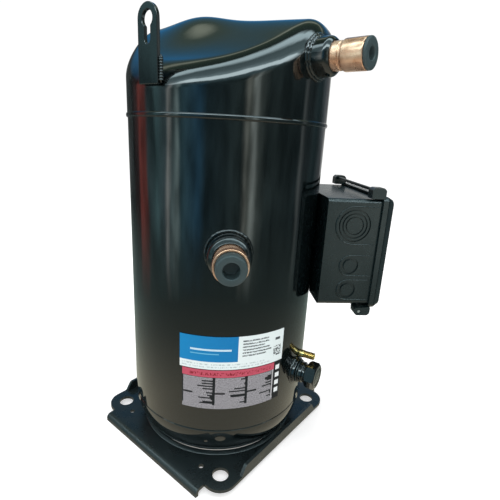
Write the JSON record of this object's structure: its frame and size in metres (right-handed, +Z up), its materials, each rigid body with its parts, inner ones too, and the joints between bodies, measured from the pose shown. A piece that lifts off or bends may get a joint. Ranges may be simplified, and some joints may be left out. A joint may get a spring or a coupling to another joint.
{
  "type": "hermetic scroll compressor",
  "caption": "Upright hermetic scroll compressor in a welded black steel shell, with copper stubs, terminal box, sight glass, lifting lug and a square foot plate.",
  "frame": {"origin": "on the shell's axis, in the plane that the bent-down foot flanges and the bottom cap's flat centre rest on", "axes": "+Z up along the shell; +X through the discharge stub; the lifting lug is near -Y and the foot plate's sides lie along X and Y"},
  "size_m": [0.3046, 0.3164, 0.5196],
  "materials": {
    "black_paint": "gloss black enamel",
    "copper": "bright drawn copper",
    "plug_rubber": "matt grey-green rubber",
    "box_plastic": "moulded black plastic",
    "brass": "turned brass",
    "glass": "clear",
    "steel": "machined steel",
    "cast_iron": "machined casting",
    "aluminium": "die cast",
    "lamination": "stacked electrical steel",
    "winding": "varnished copper wire",
    "upper_label": "printed film, blue and white",
    "lower_label": "printed film, red band over grey"
  },
  "bodies": {
    "housing": {"base_plate": "black_paint", "bottom_cap": "black_paint", "shell_body": "black_paint", "top_cap": "black_paint", "lifting_lug": "black_paint", "upper_label": "upper_label", "lower_label": "lower_label", "discharge_collar": "black_paint", "discharge_tube": "copper", "discharge_plug": "plug_rubber", "suction_collar": "black_paint", "suction_tube": "copper", "suction_plug": "plug_rubber", "sight_glass_boss": "black_paint", "sight_glass_seal": "box_plastic", "sight_glass_body": "black_paint", "sight_glass_lens": "glass", "oil_valve_body": "brass", "terminal_box_base": "box_plastic", "cover_hinge_pin_near": "steel", "cover_hinge_pin_far": "steel", "terminal_header": "steel", "terminal_pin_1": "steel", "terminal_pin_2": "steel", "terminal_pin_3": "steel", "terminal_plug": "box_plastic", "motor_lead_block": "box_plastic", "ground_screw": "brass", "stator_core": "lamination", "upper_winding": "winding", "lower_winding": "winding", "thermal_sensor": "box_plastic", "lower_bearing": "brass", "main_bearing": "brass", "lower_bearing_bracket": "cast_iron", "main_housing": "cast_iron", "fixed_scroll": "cast_iron", "scroll_bolt_1": "steel", "scroll_bolt_2": "steel", "scroll_bolt_3": "steel", "scroll_bolt_4": "steel", "muffler_plate": "steel", "check_valve_stop": "steel"},
    "crank": {"crankshaft": "steel", "drive_bushing": "steel", "oil_pickup": "steel", "rotor": "lamination", "upper_counterweight": "steel", "lower_counterweight": "steel"},
    "orbiter": {"orbiting_scroll": "cast_iron", "orbiting_bearing": "brass"},
    "coupling_ring": {"oldham_ring": "aluminium"},
    "seal": {"floating_seal": "aluminium"},
    "check_valve": {"check_valve_disc": "steel"},
    "box_cover": {"terminal_box_cover": "box_plastic"},
    "valve_pin": {"oil_valve_pin": "brass"}
  },
  "joints": [
    {"name": "crank_spin", "type": "hinge", "parent": "housing", "child": "crank", "pos_m": [0, 0, 0.2], "axis": [0, 0, 1], "continuous": true},
    {"name": "scroll_orbit", "type": "hinge", "parent": "crank", "child": "orbiter", "pos_m": [0.0048, 0, 0.344], "axis": [0, 0, 1], "continuous": true},
    {"name": "oldham_slide", "type": "slide", "parent": "housing", "child": "coupling_ring", "axis": [1, 0, 0], "range_m": [-0.0048, 0.0048]},
    {"name": "floating_seal_lift", "type": "slide", "parent": "housing", "child": "seal", "axis": [0, 0, 1], "range_m": [0, 0.0015]},
    {"name": "check_valve_lift", "type": "slide", "parent": "housing", "child": "check_valve", "axis": [0, 0, 1], "range_m": [0, 0.004]},
    {"name": "cover_swing", "type": "hinge", "parent": "housing", "child": "box_cover", "pos_m": [0.11738, 0.11738, 0.1914], "axis": [-0.7071, 0.7071, 0], "range_deg": [0, 100]},
    {"name": "valve_pin_press", "type": "slide", "parent": "housing", "child": "valve_pin", "axis": [-0.9744, -0.225, 0], "range_m": [0, 0.0015]}
  ],
  "couplings": [
    {"joint": "scroll_orbit", "follows": "crank_spin", "ratio": -1}
  ]
}
